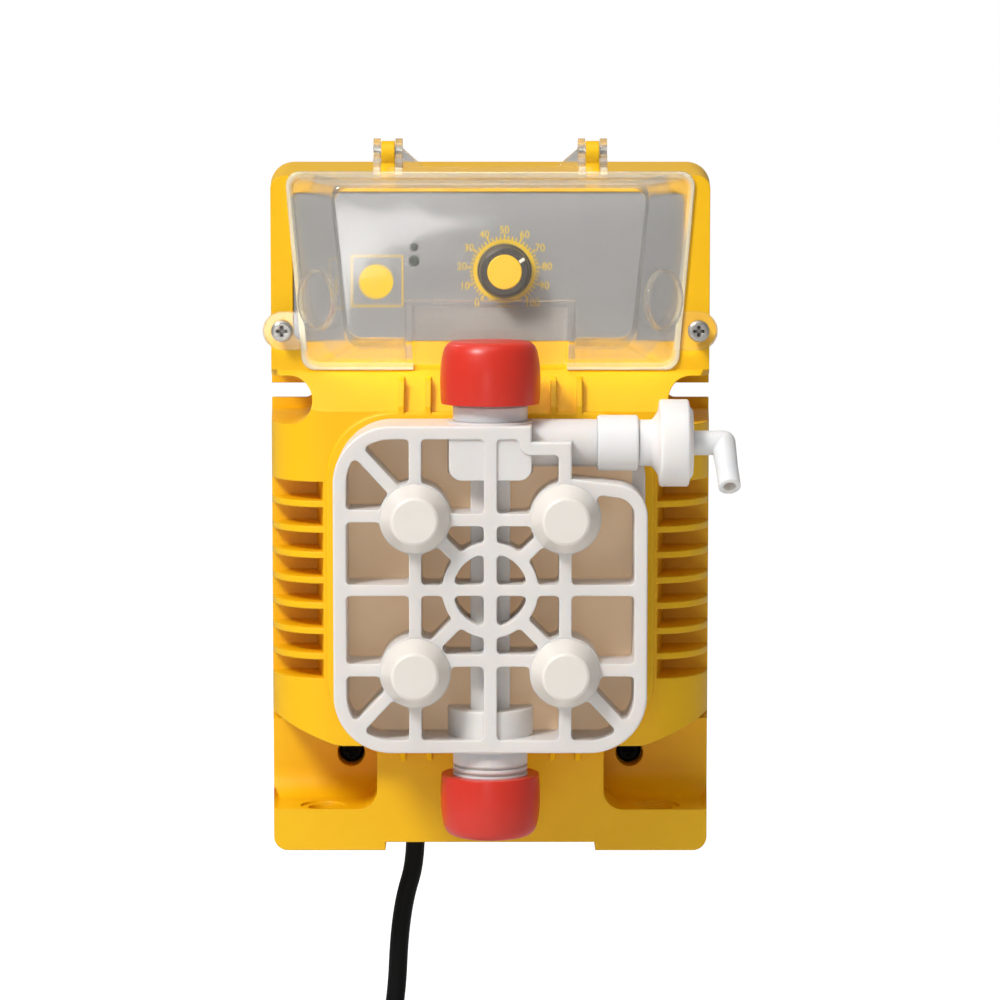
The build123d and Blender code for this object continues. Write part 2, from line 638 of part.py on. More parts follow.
def suction_fitting():
    """Threaded nipple that clamps the lower seat from below."""
    fitting = rod(FITTING_RADIUS, (0, VALVE_Y, SUCTION_FACE), (0, VALVE_Y, -107.4))
    fitting += rod(8.0, (0, VALVE_Y, -90.4), (0, VALVE_Y, SUCTION_FACE))
    fitting = fillet(fitting.edges().group_by(Axis.Z)[0], 0.8)
    for i in range(5):
        groove = rod(FITTING_RADIUS + 1, (0, VALVE_Y, -99 - 1.8 * i), (0, VALVE_Y, -99.8 - 1.8 * i))
        fitting -= groove - rod(FITTING_RADIUS - 0.8, (0, VALVE_Y, -95), (0, VALVE_Y, -110))
    groove = rod(10.0, (0, VALVE_Y, -94), (0, VALVE_Y, -96.4)) - rod(8.0, (0, VALVE_Y, -94), (0, VALVE_Y, -97))
    return fitting - groove - rod(2.6, (0, VALVE_Y, -90), (0, VALVE_Y, -110))


def valve_seat(low):
    ring = rod(7.9, (0, VALVE_Y, low), (0, VALVE_Y, low + SEAT_THICK))
    return ring - rod(SEAT_HOLE, (0, VALVE_Y, low - 1), (0, VALVE_Y, low + 3))


def valve_ball(seat_low):
    rise = sqrt((BALL_RADIUS + 0.02)**2 - SEAT_HOLE**2)
    return Pos(0, VALVE_Y, seat_low + SEAT_THICK + rise) * Sphere(BALL_RADIUS)


def fitting_oring(z):
    return Pos(0, VALVE_Y, z) * Torus(9.0, 0.78)


def port_cap(rim, direction):
    """Push-on closing cap, slightly barrelled, with a rounded closed end."""
    axis = Axis((0, VALVE_Y, rim), (0, 0, direction))
    length = CAP_LENGTH
    profile = make_face([
        Line((0, length), (9.2, length)),
        Spline((9.2, length), (12.0, length - 0.9), (13.2, length - 3.2),
               tangents=[(1, 0), (0.25, -1)]),
        Spline((13.2, length - 3.2), (14.0, 5.5), (13.7, 0), tangents=[(0.25, -1), (-0.08, -1)]),
        Line((13.7, 0), (FITTING_RADIUS + 0.05, 0)),
        Line((FITTING_RADIUS + 0.05, 0), (FITTING_RADIUS + 0.05, 11.3)),
        Line((FITTING_RADIUS + 0.05, 11.3), (9.6, 14.6)),
        Line((9.6, 14.6), (0, 14.6)),
        Line((0, 14.6), (0, length)),
    ])
    plane = Plane(origin=axis.position, z_dir=axis.direction)
    return plane * revolve(Plane.XZ * profile, Axis.Z)


# ---------------------------------------------------------------- bleed valve

def bleed_valve_body():
    """Collar screwed into the head's bleed port, with a stem seat inside."""
    body = rod(7.8, (29.8, VALVE_Y, BLEED_Z), (41.2, VALVE_Y, BLEED_Z))
    body = chamfer(body.edges().filter_by(GeomType.CIRCLE), 0.5)
    body += rod(3.5, (22, VALVE_Y, BLEED_Z), (30, VALVE_Y, BLEED_Z))
    body -= rod(4.6, (33, VALVE_Y, BLEED_Z), (42, VALVE_Y, BLEED_Z))
    return body - rod(1.5, (21, VALVE_Y, BLEED_Z), (34, VALVE_Y, BLEED_Z))


def bleed_knob():
    """Priming knob on the collar: a neck that flares to a plain round disc."""
    axis = Axis((41.4, VALVE_Y, BLEED_Z), (1, 0, 0))
    profile = make_face([
        Line((0, 0), (6.5, 0)),
        Line((6.5, 0), (6.5, 3.0)),
        Spline((6.5, 3.0), (7.2, 4.2), (9.2, 5.4), tangents=[(0, 1), (1, 0.5)]),
        Line((9.2, 5.4), (12.2, 5.8)),
        Line((12.2, 5.8), (12.2, 13.8)),
        Line((12.2, 13.8), (10.2, 14.2)),
        Line((10.2, 14.2), (9.2, 15.0)),
        Line((9.2, 15.0), (0, 15.0)),
        Line((0, 15.0), (0, 0)),
    ])
    plane = Plane(origin=axis.position, z_dir=axis.direction)
    knob = plane * revolve(Plane.XZ * profile, Axis.Z)
    rim = [e for e in knob.edges().filter_by(GeomType.CIRCLE) if abs(e.radius - 12.2) < 0.05]
    knob = fillet(rim, 0.8)
    knob += rod(4.55, (34.6, VALVE_Y, BLEED_Z), (42, VALVE_Y, BLEED_Z))
    knob -= rod(3.03, (46, VALVE_Y, BLEED_Z), (60, VALVE_Y, BLEED_Z))
    return knob - rod(1.5, (33, VALVE_Y, BLEED_Z), (50, VALVE_Y, BLEED_Z))


def bleed_oring():
    return Plane(origin=(33.8, VALVE_Y, BLEED_Z), z_dir=(1, 0, 0)) * Torus(3.0, 0.75)


NOZZLE_BEND = (65.0, VALVE_Y, BLEED_Z)
NOZZLE_AIM = (0.075, -0.70, -0.71)


def bleed_nozzle():
    """Elbow spout that swivels in the knob and points down and forward."""
    aim = Vector(*NOZZLE_AIM).normalized()
    bend = Vector(*NOZZLE_BEND)
    tip = bend + aim * 15.8
    neck = bend + aim * 9.0
    spout = rod(3.45, (56.6, VALVE_Y, BLEED_Z), NOZZLE_BEND)
    spout += Pos(*NOZZLE_BEND) * Sphere(3.45)
    spout += rod(3.45, NOZZLE_BEND, neck.to_tuple(), 3.1)
    spout += rod(3.1, neck.to_tuple(), tip.to_tuple())
    spout += rod(3.0, (50, VALVE_Y, BLEED_Z), (57, VALVE_Y, BLEED_Z))
    spout -= rod(1.75, (49, VALVE_Y, BLEED_Z), NOZZLE_BEND) + Pos(*NOZZLE_BEND) * Sphere(1.75)
    return spout - rod(1.75, NOZZLE_BEND, (tip + aim).to_tuple())


# ---------------------------------------------------------------- solenoid

def solenoid_yoke():
    """Steel frame round the coil; open at the top and bottom."""
    low, high = HEAD_Z - 25, HEAD_Z + 25
    frame = block(-31, 31, -60, -56, low, high) + block(-31, 31, -16, -12, low, high)
    for side in LEFT_RIGHT:
        frame += block(side * 28, side * 31, -56, -16, low, high)
        frame += block(side * 28, side * 41, -12, -15, HEAD_Z - 8, HEAD_Z + 8)
    return frame - rod(ROD_BORE, drive_point(-50), drive_point(-70))


def pole_piece():
    pole = rod(BOBBIN_BORE, drive_point(-56), drive_point(-36))
    pole -= rod(7.0, drive_point(-30), drive_point(-46))
    return pole - rod(ROD_BORE, drive_point(-30), drive_point(-70))


def coil_bobbin():
    bobbin = rod(12.5, drive_point(-16.2), drive_point(-55.8))
    bobbin += rod(25.5, drive_point(-16.2), drive_point(-18.2)) + rod(25.5, drive_point(-53.8), drive_point(-55.8))
    return bobbin - rod(BOBBIN_BORE, drive_point(-10), drive_point(-60))


def coil_winding():
    return rod(24.5, drive_point(-18.2), drive_point(-53.8)) - rod(12.5, drive_point(-10), drive_point(-60))


def armature():
    slug = rod(ARMATURE_RADIUS, drive_point(-34.5), drive_point(-17.2))
    slug = chamfer(slug.edges().filter_by(GeomType.CIRCLE), 0.6)
    return slug - rod(ROD_RADIUS, drive_point(-26), drive_point(-40))


def push_rod():
    return rod(ROD_RADIUS, drive_point(-69.6), drive_point(-26))


def return_spring():
    """Compression spring between the pole and the armature."""
    wire = 0.55
    length = 46.0 - 34.5 - 2 * wire
    path = Helix(length / 5, length, 5.6)
    coil = sweep(Plane(origin=path @ 0, z_dir=path % 0) * Circle(wire), path, is_frenet=True)
    return Plane(origin=drive_point(-34.5 - wire), z_dir=(0, -1, 0)) * coil


# ---------------------------------------------------------------- mains lead

def tangent_radii(points):
    """Radius of each corner's arc: 0.45 of its shorter run over the tangent of half the turn."""
    radii = []
    for before, corner, after in zip(points, points[1:], points[2:]):
        first = Vector(*corner) - Vector(*before)
        second = Vector(*after) - Vector(*corner)
        shorter = min(first.length, second.length)
        radii.append(0.45 * shorter / tan(radians(first.get_angle(second)) / 2))
    return radii


def tube(points, radius):
    """Round lead along straight runs joined by tangent arcs."""
    radii = tangent_radii(points)
    path = FilletPolyline(*points, radius=radii)
    solid = sweep(Plane(origin=path @ 0, z_dir=path % 0) * Circle(radius), path)
    print("corner radii", [round(r, 1) for r in radii])
    print("length", round(path.length, 1), "volume over section times length",
          round(solid.volume / (pi * radius**2 * path.length), 4))
    return solid


COIL_LEFT = COIL_CENTRE[0] - COIL_RADIUS
LEAD_ROUTE = [
    CORD_EXIT,
    (-22.3, -25.0, -139.5),
    (-25.6, -25.2, -150.2),
    (-27.3, -25.3, -163.0),
    (-27.9, -25.6, -177.5),
    (-29.9, -26.4, -191.5),
    (-33.1, -27.8, -204.5),
]
TAIL_ROUTE = [
    (COIL_LEFT - 6.0, -20.6, -250.0),
    (COIL_LEFT - 6.8, -21.2, -263.0),
    (COIL_LEFT - 6.8, -21.2, -276.0),
]
PLUG_TOP = TAIL_ROUTE[-1]


def mains_lead():
    return tube(LEAD_ROUTE, CORD_RADIUS) - lead_coil()


def lead_tail():
    return tube(TAIL_ROUTE, CORD_RADIUS) - lead_coil()


def lead_coil():
    """Outer shape of the wound spare length, hanging parallel to the wall."""
    return Plane(origin=COIL_CENTRE, z_dir=(0, -1, 0)) * Torus(COIL_RADIUS, BUNDLE_RADIUS)


def coil_tie():
    x, y, z = COIL_LEFT, COIL_CENTRE[1], COIL_CENTRE[2]
    band = rod(BUNDLE_RADIUS + 1.4, (x, y, z - 3), (x, y, z + 3))
    return band - rod(BUNDLE_RADIUS + 0.25, (x, y, z - 4), (x, y, z + 4))


def cable_bush():
    """Tapered strain relief held in the roof of the cable room."""
    x, y, _ = CORD_EXIT
    axis = Axis((x, y, -99.5), (0, 0, -1))
    profile = [(0, 0), (7, 0), (7, 1), (5, 1), (5, 4.5), (6.4, 4.5), (6.4, 6.5), (3.7, 30.5), (0, 30.5)]
    bush = turned(profile, axis)
    return bush - rod(CORD_RADIUS, (x, y, -98), (x, y, -131))


def inner_lead():
    """Short sheathed length of the lead inside the strain relief and the case."""
    x, y, z = CORD_EXIT
    return rod(CORD_RADIUS, (x, y, z), (x, y, -92))


def plug_body():
    """Straight two-pole plug with earth clips and a ribbed grip."""
    x, y, z = PLUG_TOP
    axis = Axis((x, y, z), (0, 0, -1))
    body = turned([(0, 0), (3.6, 0), (5.2, 20), (9.5, 24), (13.5, 30), (17.2, 33), (17.2, 46), (18.4, 47),
                   (18.4, 52), (0, 52)], axis)
    for side in LEFT_RIGHT:
        body -= block(x + side * 16.2, x + side * 20, y - 2.6, y + 2.6, z - 53, z - 35)
    return body


def plug_pins():
    x, y, z = PLUG_TOP
    pins = []
    for side in LEFT_RIGHT:
        pin = rod(2.4, (x + side * 9.5, y, z - 52), (x + side * 9.5, y, z - 71))
        pins.append(fillet(pin.edges().group_by(Axis.Z)[0], 1.2))
    return group(pins)


def earth_clips():
    x, y, z = PLUG_TOP
    return group([block(x + side * 16.2, x + side * 17.6, y - 2.4, y + 2.4, z - 51, z - 37)
                  for side in LEFT_RIGHT])


# ---------------------------------------------------------------- write every node

made["front_housing"] = front_housing()
made["back_cover"] = back_cover()
made["housing_seal"] = extrude(wall_plane(-BACK_THICK) * seal_ring(), 1.2)
made["housing_screws"] = housing_screws()
made["control_panel"] = control_panel()
made["indicator_lights"] = indicator_lights()
made["dial_knob"] = dial_knob()
made["dial_cap"] = dial_cap()
made["dial_shaft"] = dial_shaft()
made["potentiometer"] = potentiometer()
made["circuit_board"] = circuit_board()
made["board_screws"] = board_screws()
made["terminal_block"] = terminal_block()
made["smoothing_capacitor"] = smoothing_capacitor()
made["power_resistor"] = power_resistor()
made["clear_cover"] = clear_cover()
made["cover_gasket"] = cover_gasket()
made["cover_screws"] = cover_screws()
made["hinge_pins"] = hinge_pins()
made["splash_shield"] = splash_shield()
made["pump_head"] = pump_head()
made["head_bolts"] = head_bolts()
made["head_nuts"] = head_nuts()
made["bolt_caps"] = bolt_caps()
made["diaphragm"] = diaphragm()
made["diaphragm_flange"] = diaphragm_flange()
made["rod_bush"] = rod_bush()
made["discharge_fitting"] = discharge_fitting()
made["discharge_seat"] = valve_seat(-14.6)
made["discharge_ball"] = valve_ball(-14.6)
made["discharge_oring"] = fitting_oring(-1.7)
made["discharge_cap"] = port_cap(2.3, 1)
made["suction_fitting"] = suction_fitting()
made["suction_seat"] = valve_seat(-90.4)
made["suction_ball"] = valve_ball(-90.4)
made["suction_oring"] = fitting_oring(-95.6)
made["suction_cap"] = port_cap(-102.2, -1)
made["bleed_valve_body"] = bleed_valve_body()
made["bleed_knob"] = bleed_knob()
made["bleed_nozzle"] = bleed_nozzle()
made["bleed_oring"] = bleed_oring()
made["solenoid_yoke"] = solenoid_yoke()
made["pole_piece"] = pole_piece()
made["coil_bobbin"] = coil_bobbin()
made["coil_winding"] = coil_winding()
made["armature"] = armature()
made["push_rod"] = push_rod()
made["return_spring"] = return_spring()
made["cable_bush"] = cable_bush()
made["inner_lead"] = inner_lead()
made["mains_lead"] = mains_lead()
made["lead_coil"] = lead_coil()
made["coil_tie"] = coil_tie()
made["lead_tail"] = lead_tail()
made["plug_body"] = plug_body()
made["plug_pins"] = plug_pins()
made["earth_clips"] = earth_clips()

os.makedirs("parts", exist_ok=True)
for name, shape in made.items():
    export_step(shape, f"parts/{name}.step")
print(len(made), "nodes")
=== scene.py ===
from math import cos, radians, sin

import bmesh
import bpy
from mathutils import Matrix, Vector


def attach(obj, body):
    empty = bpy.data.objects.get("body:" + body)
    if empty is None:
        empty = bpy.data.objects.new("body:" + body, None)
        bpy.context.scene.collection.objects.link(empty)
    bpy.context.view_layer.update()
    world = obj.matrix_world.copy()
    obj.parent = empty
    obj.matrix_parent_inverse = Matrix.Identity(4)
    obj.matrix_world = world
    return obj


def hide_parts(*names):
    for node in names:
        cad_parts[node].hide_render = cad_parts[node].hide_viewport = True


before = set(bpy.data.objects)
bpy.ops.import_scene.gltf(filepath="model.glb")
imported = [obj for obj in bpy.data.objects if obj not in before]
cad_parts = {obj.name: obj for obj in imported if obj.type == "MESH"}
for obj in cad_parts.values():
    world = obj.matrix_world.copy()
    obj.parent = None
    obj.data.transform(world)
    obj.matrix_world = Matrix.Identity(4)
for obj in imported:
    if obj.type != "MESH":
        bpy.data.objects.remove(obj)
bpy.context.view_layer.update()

# ---------------------------------------------------------------- studio
# A product photographer's bench: a white sheet far below the pump, one small round soft box high
# on the left, a weaker square one straight above, and even pale light all round.

AIM = (0.0, -0.06, 0.0)
AMBIENT = 0.29
FLOOR_Z = -0.47
FLOOR_HALF = 60.0
PAPER_GLOW = 0.75
CLOTH_Y = -2.08
CLOTH_GLOW = (8.5, 9.5)
CAMERA_PLACE = (0.0, -1.119, 0.0822)
CAMERA_TILT = 5.91
CAMERA_LENS = 133.9
CAMERA_SHIFT = 0.0097


def linear(hex_colour):
    """sRGB hex to the linear colour that the shaders take."""
    parts = [int(hex_colour[i:i + 2], 16) / 255 for i in (1, 3, 5)]
    return [c / 12.92 if c <= 0.04045 else ((c + 0.055) / 1.055) ** 2.4 for c in parts] + [1.0]


def add(tree, kind, inputs=None, **settings):
    """One node with its settings; an input is a value or another node's output."""
    node = tree.nodes.new(kind)
    for name, value in settings.items():
        setattr(node, name, value)
    for name, value in (inputs or {}).items():
        socket = node.inputs[name]
        if isinstance(value, bpy.types.NodeSocket):
            tree.links.new(value, socket)
        else:
            socket.default_value = value
    return node


def new_material(name):
    """An empty node material."""
    made = bpy.data.materials.new(name)
    made.use_nodes = True
    made.node_tree.nodes.clear()
    return made, made.node_tree


def link(name, data):
    """An object for this data, in the scene."""
    made = bpy.data.objects.new(name, data)
    bpy.context.scene.collection.objects.link(made)
    return made


def soft_box(name, place, aim, width, height, power, shape="RECTANGLE"):
    """An area light that faces a point."""
    light = bpy.data.lights.new(name, "AREA")
    light.shape = shape
    light.size = width
    light.size_y = height
    light.energy = power
    made = link(name, light)
    made.location = place
    made.rotation_euler = (Vector(aim) - Vector(place)).to_track_quat("-Z", "Y").to_euler()


camera_data = bpy.data.cameras.new("camera")
camera_data.lens = CAMERA_LENS
camera_data.sensor_width = 36.0
camera_data.shift_x = CAMERA_SHIFT
camera_data.clip_start = 0.05
camera = link("camera", camera_data)
camera.location = CAMERA_PLACE
camera.rotation_euler = (radians(90 - CAMERA_TILT), 0, 0)
bpy.context.scene.camera = camera
bpy.context.scene.view_settings.view_transform = "Standard"

world = bpy.data.worlds.new("studio")
world.use_nodes = True
world.node_tree.nodes.clear()
sight = add(world.node_tree, "ShaderNodeLightPath")
level = add(world.node_tree, "ShaderNodeMix", {0: sight.outputs["Is Camera Ray"], 2: AMBIENT, 3: 1.0})
pale = add(world.node_tree, "ShaderNodeBackground", {"Color": linear("#FFFFFF"),
                                                     "Strength": level.outputs[0]})
add(world.node_tree, "ShaderNodeOutputWorld", {"Surface": pale.outputs["Background"]})
bpy.context.scene.world = world

soft_box("soft_box_left", place=(-0.92, -1.20, 1.25), aim=AIM, width=0.5, height=0.5, power=27,
         shape="ELLIPSE")
soft_box("soft_box_top", place=(-0.3, -0.5, 1.3), aim=AIM, width=0.9, height=0.9, power=6)

sheet_mesh = bmesh.new()
bmesh.ops.create_grid(sheet_mesh, x_segments=1, y_segments=1, size=FLOOR_HALF)
bmesh.ops.translate(sheet_mesh, vec=(0, 0, FLOOR_Z), verts=sheet_mesh.verts)
floor_data = bpy.data.meshes.new("paper_sheet")
sheet_mesh.to_mesh(floor_data)
sheet_mesh.free()
floor = link("paper_sheet", floor_data)
paper, tree = new_material("white_paper_matt")
fibre = add(tree, "ShaderNodeTexNoise", {"Scale": 60.0, "Detail": 3.0})
tone = add(tree, "ShaderNodeMix", {0: fibre.outputs["Fac"], 6: linear("#FAF9F7"), 7: linear("#FFFFFF")},
           data_type="RGBA")
sight = add(tree, "ShaderNodeLightPath")
level = add(tree, "ShaderNodeMapRange", {"Value": sight.outputs["Is Camera Ray"], "To Max": PAPER_GLOW})
surface = add(tree, "ShaderNodeBsdfPrincipled", {"Base Color": tone.outputs[2], "Roughness": 0.9,
                                                 "Emission Color": linear("#FFFFFF"),
                                                 "Emission Strength": level.outputs["Result"]})
add(tree, "ShaderNodeOutputMaterial", {"Surface": surface.outputs["BSDF"]})
floor.data.materials.append(paper)

# A strip of lit diffusion cloth hangs in front; the clear cover shows it as a pale streak. Its
# outline is in metres, in X and Z.
STREAK = [(0.012, -0.004), (-0.052, -0.015), (-0.076, -0.023), (-0.096, -0.032), (-0.110, -0.050),
          (-0.117, -0.098), (-0.450, -0.120), (-0.450, 0.032), (-0.116, 0.0063)]
cloth_mesh = bmesh.new()
corners = [bmesh.ops.create_vert(cloth_mesh, co=(x, CLOTH_Y, z))["vert"][0] for x, z in STREAK]
bmesh.ops.contextual_create(cloth_mesh, geom=corners)
cloth_data = bpy.data.meshes.new("diffusion_cloth")
cloth_mesh.to_mesh(cloth_data)
cloth_mesh.free()
cloth = link("diffusion_cloth", cloth_data)
cloth.visible_camera = False
cloth.visible_shadow = False
lit_cloth, tree = new_material("polyester_woven_white")
weave = add(tree, "ShaderNodeTexNoise", {"Scale": 3.0})
glow = add(tree, "ShaderNodeMapRange", {"Value": weave.outputs["Fac"], "To Min": CLOTH_GLOW[0],
                                        "To Max": CLOTH_GLOW[1]})
surface = add(tree, "ShaderNodeEmission", {"Color": linear("#FFFFFF"), "Strength": glow.outputs["Result"]})
add(tree, "ShaderNodeOutputMaterial", {"Surface": surface.outputs["Emission"]})
cloth.data.materials.append(lit_cloth)

# ---------------------------------------------------------------- mains lead
# Three-core lead in a black PVC sheath, extruded, which hangs from the tapered bush under the case.
# Its spare length is wound in seven turns and strapped; the plug is moulded on its end.

LEAD_DIAMETER = 0.0056
LEAD_EXIT = (-0.0223, -0.025, -0.130)
COIL_CENTRE = Vector((0.001, -0.025, -0.233))
COIL_RADIUS = 0.031
COIL_TURNS = 7
POINTS_PER_TURN = 24
STRAND_PITCH = 0.0064
STRAP_ANGLE = 60

lead_points = [Vector(p) for p in (
    LEAD_EXIT,
    (-0.0223, -0.0250, -0.1395),
    (-0.0256, -0.0252, -0.1502),
    (-0.0273, -0.0253, -0.1630),
    (-0.0279, -0.0256, -0.1775),
    (-0.0299, -0.0264, -0.1915),
    (-0.0331, -0.0278, -0.2045),
    (-0.0357, -0.0300, -0.2170),
)]
tail_points = [Vector(p) for p in (
    (-0.0360, -0.0195, -0.2450),
    (-0.0362, -0.0204, -0.2540),
    (-0.0368, -0.0212, -0.2640),
    (-0.0368, -0.0212, -0.2760),
)]
# Where each pass lies in the strapped bundle: outwards from the coil's middle line, and along Y
strand_places = [(1, -0.866), (0.5, 0), (0, -0.866), (-1, -0.866),
                 (-0.5, 0), (-1, 0.866), (0, 0.866), (1, 0.866)]
shift_span = (360 - STRAP_ANGLE) / COIL_TURNS


def strand_place(turned):
    """Place in the bundle after an angle turned; each pass moves over in its own part of the turn."""
    done = min(int(turned // 360), COIL_TURNS - 1)
    start = STRAP_ANGLE / 2 + shift_span * (COIL_TURNS - 1 - done)
    share = min(max((turned - 360 * done - start) / shift_span, 0), 1)
    share = share * share * (3 - 2 * share)
    here, there = Vector(strand_places[done]), Vector(strand_places[done + 1])
    return (here + (there - here) * share) * STRAND_PITCH


coil_points = []
for i in range(COIL_TURNS * POINTS_PER_TURN + 1):
    turned = 360 * i / POINTS_PER_TURN
    outward, along = strand_place(turned)
    angle = radians(180 + turned)
    reach = COIL_RADIUS + outward
    coil_points.append(COIL_CENTRE + Vector((reach * cos(angle), along, reach * sin(angle))))

lead_data = bpy.data.curves.new("mains_lead_sheath", "CURVE")
lead_data.dimensions = "3D"
lead_data.bevel_depth = LEAD_DIAMETER / 2
lead_data.bevel_resolution = 6
lead_data.resolution_u = 5
lead_data.use_fill_caps = True
spline = lead_data.splines.new("NURBS")
route = lead_points + coil_points + tail_points
spline.points.add(len(route) - 1)
for point, place in zip(spline.points, route):
    point.co = (*place, 1.0)
spline.order_u = 3
spline.use_endpoint_u = True
lead = link("mains_lead_sheath", lead_data)


def moulded(name, light, deep, rough, grain_mm=0.5, relief_mm=0.01, edge_mm=0.35, **sockets):
    """Moulded plastic: faint flow mottle, spark-eroded grain, and small rounded edges."""
    made, tree = new_material(name)
    place = add(tree, "ShaderNodeTexCoord").outputs["Object"]
    flow = add(tree, "ShaderNodeTexNoise", {"Vector": place, "Scale": 28.0, "Detail": 3.0})
    grain = add(tree, "ShaderNodeTexNoise", {"Vector": place, "Scale": 1000 / grain_mm, "Detail": 2.0})
    tone = add(tree, "ShaderNodeMix", {0: flow.outputs["Fac"], 6: linear(light), 7: linear(deep)},
               data_type="RGBA")
    gloss = add(tree, "ShaderNodeMapRange", {"Value": flow.outputs["Fac"], "From Min": 0.3,
                                             "From Max": 0.7, "To Min": rough - 0.04,
                                             "To Max": rough + 0.05})
    edge = add(tree, "ShaderNodeBevel", {"Radius": edge_mm / 1000}, samples=4)
    relief = add(tree, "ShaderNodeBump", {"Strength": 0.5, "Distance": relief_mm / 1000,
                                          "Height": grain.outputs["Fac"], "Normal": edge.outputs["Normal"]})
    settings = {"Base Color": tone.outputs[2], "Roughness": gloss.outputs["Result"],
                "Normal": relief.outputs["Normal"]}
    for socket, value in sockets.items():
        settings[socket.replace("_", " ")] = value
    surface = add(tree, "ShaderNodeBsdfPrincipled", settings)
    add(tree, "ShaderNodeOutputMaterial", {"Surface": surface.outputs["BSDF"]})
    return made


def dress(material, *names):
    """Gives CAD nodes their finish."""
    for name in names:
        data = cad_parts[name].data
        data.materials.clear()
        data.materials.append(material)


# PVC sheath: nearly black, soft sheen along its length
sheath = moulded("pvc_sheath_extruded_black", "#070707", "#030303", 0.5, grain_mm=0.8, relief_mm=0.02,
                 Specular_IOR_Level=0.15)
lead.data.materials.append(sheath)
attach(lead, "pump")
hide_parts("mains_lead", "lead_coil", "lead_tail")
dress(sheath, "inner_lead")
# Moulded plug and elastomer parts are a little rougher than the sheath
dress(moulded("elastomer_moulded_black", "#151515", "#0C0C0C", 0.55, grain_mm=0.6, relief_mm=0.03),
      "cable_bush", "plug_body", "coil_tie")


def machined(name, colour, rough, turn_mm=0.25, axis=1, **sockets):
    """Machined or drawn metal: fine tool lines across one axis, with a slight change of shine."""
    made, tree = new_material(name)
    place = add(tree, "ShaderNodeTexCoord").outputs["Object"]
    stretch = [30.0, 30.0, 30.0]
    stretch[axis] = 1000 / turn_mm
    lines = add(tree, "ShaderNodeMapping", {"Vector": place, "Scale": stretch})
    tool = add(tree, "ShaderNodeTexNoise", {"Vector": lines.outputs["Vector"], "Scale": 1.0, "Detail": 3.0})
    gloss = add(tree, "ShaderNodeMapRange", {"Value": tool.outputs["Fac"], "From Min": 0.3, "From Max": 0.7,
                                             "To Min": rough - 0.07, "To Max": rough + 0.08})
    edge = add(tree, "ShaderNodeBevel", {"Radius": 0.00015}, samples=4)
    relief = add(tree, "ShaderNodeBump", {"Strength": 0.4, "Distance": 0.00001,
                                          "Height": tool.outputs["Fac"], "Normal": edge.outputs["Normal"]})
    settings = {"Base Color": linear(colour), "Metallic": 1.0, "Roughness": gloss.outputs["Result"],
                "Normal": relief.outputs["Normal"]}
    for socket, value in sockets.items():
        settings[socket.replace("_", " ")] = value
    surface = add(tree, "ShaderNodeBsdfPrincipled", settings)
    add(tree, "ShaderNodeOutputMaterial", {"Surface": surface.outputs["BSDF"]})
    return made


# Nickel-plated brass pins and earth clips: warm, bright, with drawn lines
dress(machined("brass_nickel_plated", "#C9C4B6", 0.24, axis=2), "plug_pins", "earth_clips")

# ---------------------------------------------------------------- case
# Front housing and rear cover in glass-filled polypropylene, injection moulded in yellow with a
# spark-eroded grain, closed on a rubber seal by four screws. The finned sides shed the coil's heat.

case_plastic = moulded("polypropylene_moulded_yellow", "#F8C206", "#F0B600", 0.42, grain_mm=0.7,
                       relief_mm=0.012, edge_mm=0.6, Specular_IOR_Level=0.35)
dress(case_plastic, "front_housing", "back_cover")
# Moulded rubber in the groove between the halves: matt black
rubber = moulded("rubber_moulded_black", "#1A1A1A", "#101010", 0.7, grain_mm=0.4, relief_mm=0.02)
dress(rubber, "housing_seal", "discharge_seat", "discharge_oring", "suction_seat", "suction_oring",
      "bleed_oring")
# Socket screws in black oxide, and zinc-plated screws for the board: dull silver, slightly blue
dress(machined("steel_black_oxide", "#151414", 0.45), "housing_screws")
dress(machined("steel_zinc_plated", "#A7ABAB", 0.36), "board_screws")

# ---------------------------------------------------------------- solenoid drive
# Folded steel frame, turned pole and armature, and enamelled copper wire wound on a nylon bobbin.
# The stainless rod pushes the diaphragm; the spring brings it back.

WIRE_MM = 0.8
BANDS_PER_UNIT = 3.2

dress(machined("steel_machined_dark", "#6E6E6C", 0.34), "solenoid_yoke", "pole_piece", "armature")
dress(machined("stainless_turned", "#B9B9B6", 0.22), "push_rod", "return_spring", "dial_shaft",
      "hinge_pins", "head_bolts", "head_nuts")
dress(moulded("nylon_moulded_black", "#1B1B1C", "#131314", 0.5), "coil_bobbin", "potentiometer")
# Enamelled wire: glossy red-brown, one ridge for each turn; painted shade darkens the colour in the groove
# between turns and it lightens on each ridge
winding, tree = new_material("copper_wire_enamelled")
place = add(tree, "ShaderNodeTexCoord").outputs["Object"]
turns = add(tree, "ShaderNodeTexWave", {"Vector": place, "Scale": 1000 / WIRE_MM / BANDS_PER_UNIT,
                                        "Distortion": 0.4}, wave_type="BANDS", bands_direction="Y")
tone = add(tree, "ShaderNodeMix", {0: turns.outputs["Fac"], 6: linear("#5A1F0B"), 7: linear("#B4541F")},
           data_type="RGBA")
ridge = add(tree, "ShaderNodeBump", {"Strength": 0.8, "Distance": 0.0003, "Height": turns.outputs["Fac"]})
surface = add(tree, "ShaderNodeBsdfPrincipled", {"Base Color": tone.outputs[2], "Metallic": 0.6,
                                                 "Roughness": 0.28, "Normal": ridge.outputs["Normal"]})
add(tree, "ShaderNodeOutputMaterial", {"Surface": surface.outputs["BSDF"]})
dress(winding, "coil_winding")
dress(moulded("bearing_polymer_moulded_brown", "#4A4132", "#3A3327", 0.5), "rod_bush")

# ---------------------------------------------------------------- electronics
# Glass-epoxy board under green solder mask, screwed to posts behind the panel. It carries a screw
# terminal block, a sleeved capacitor and a cement resistor, all soldered down.

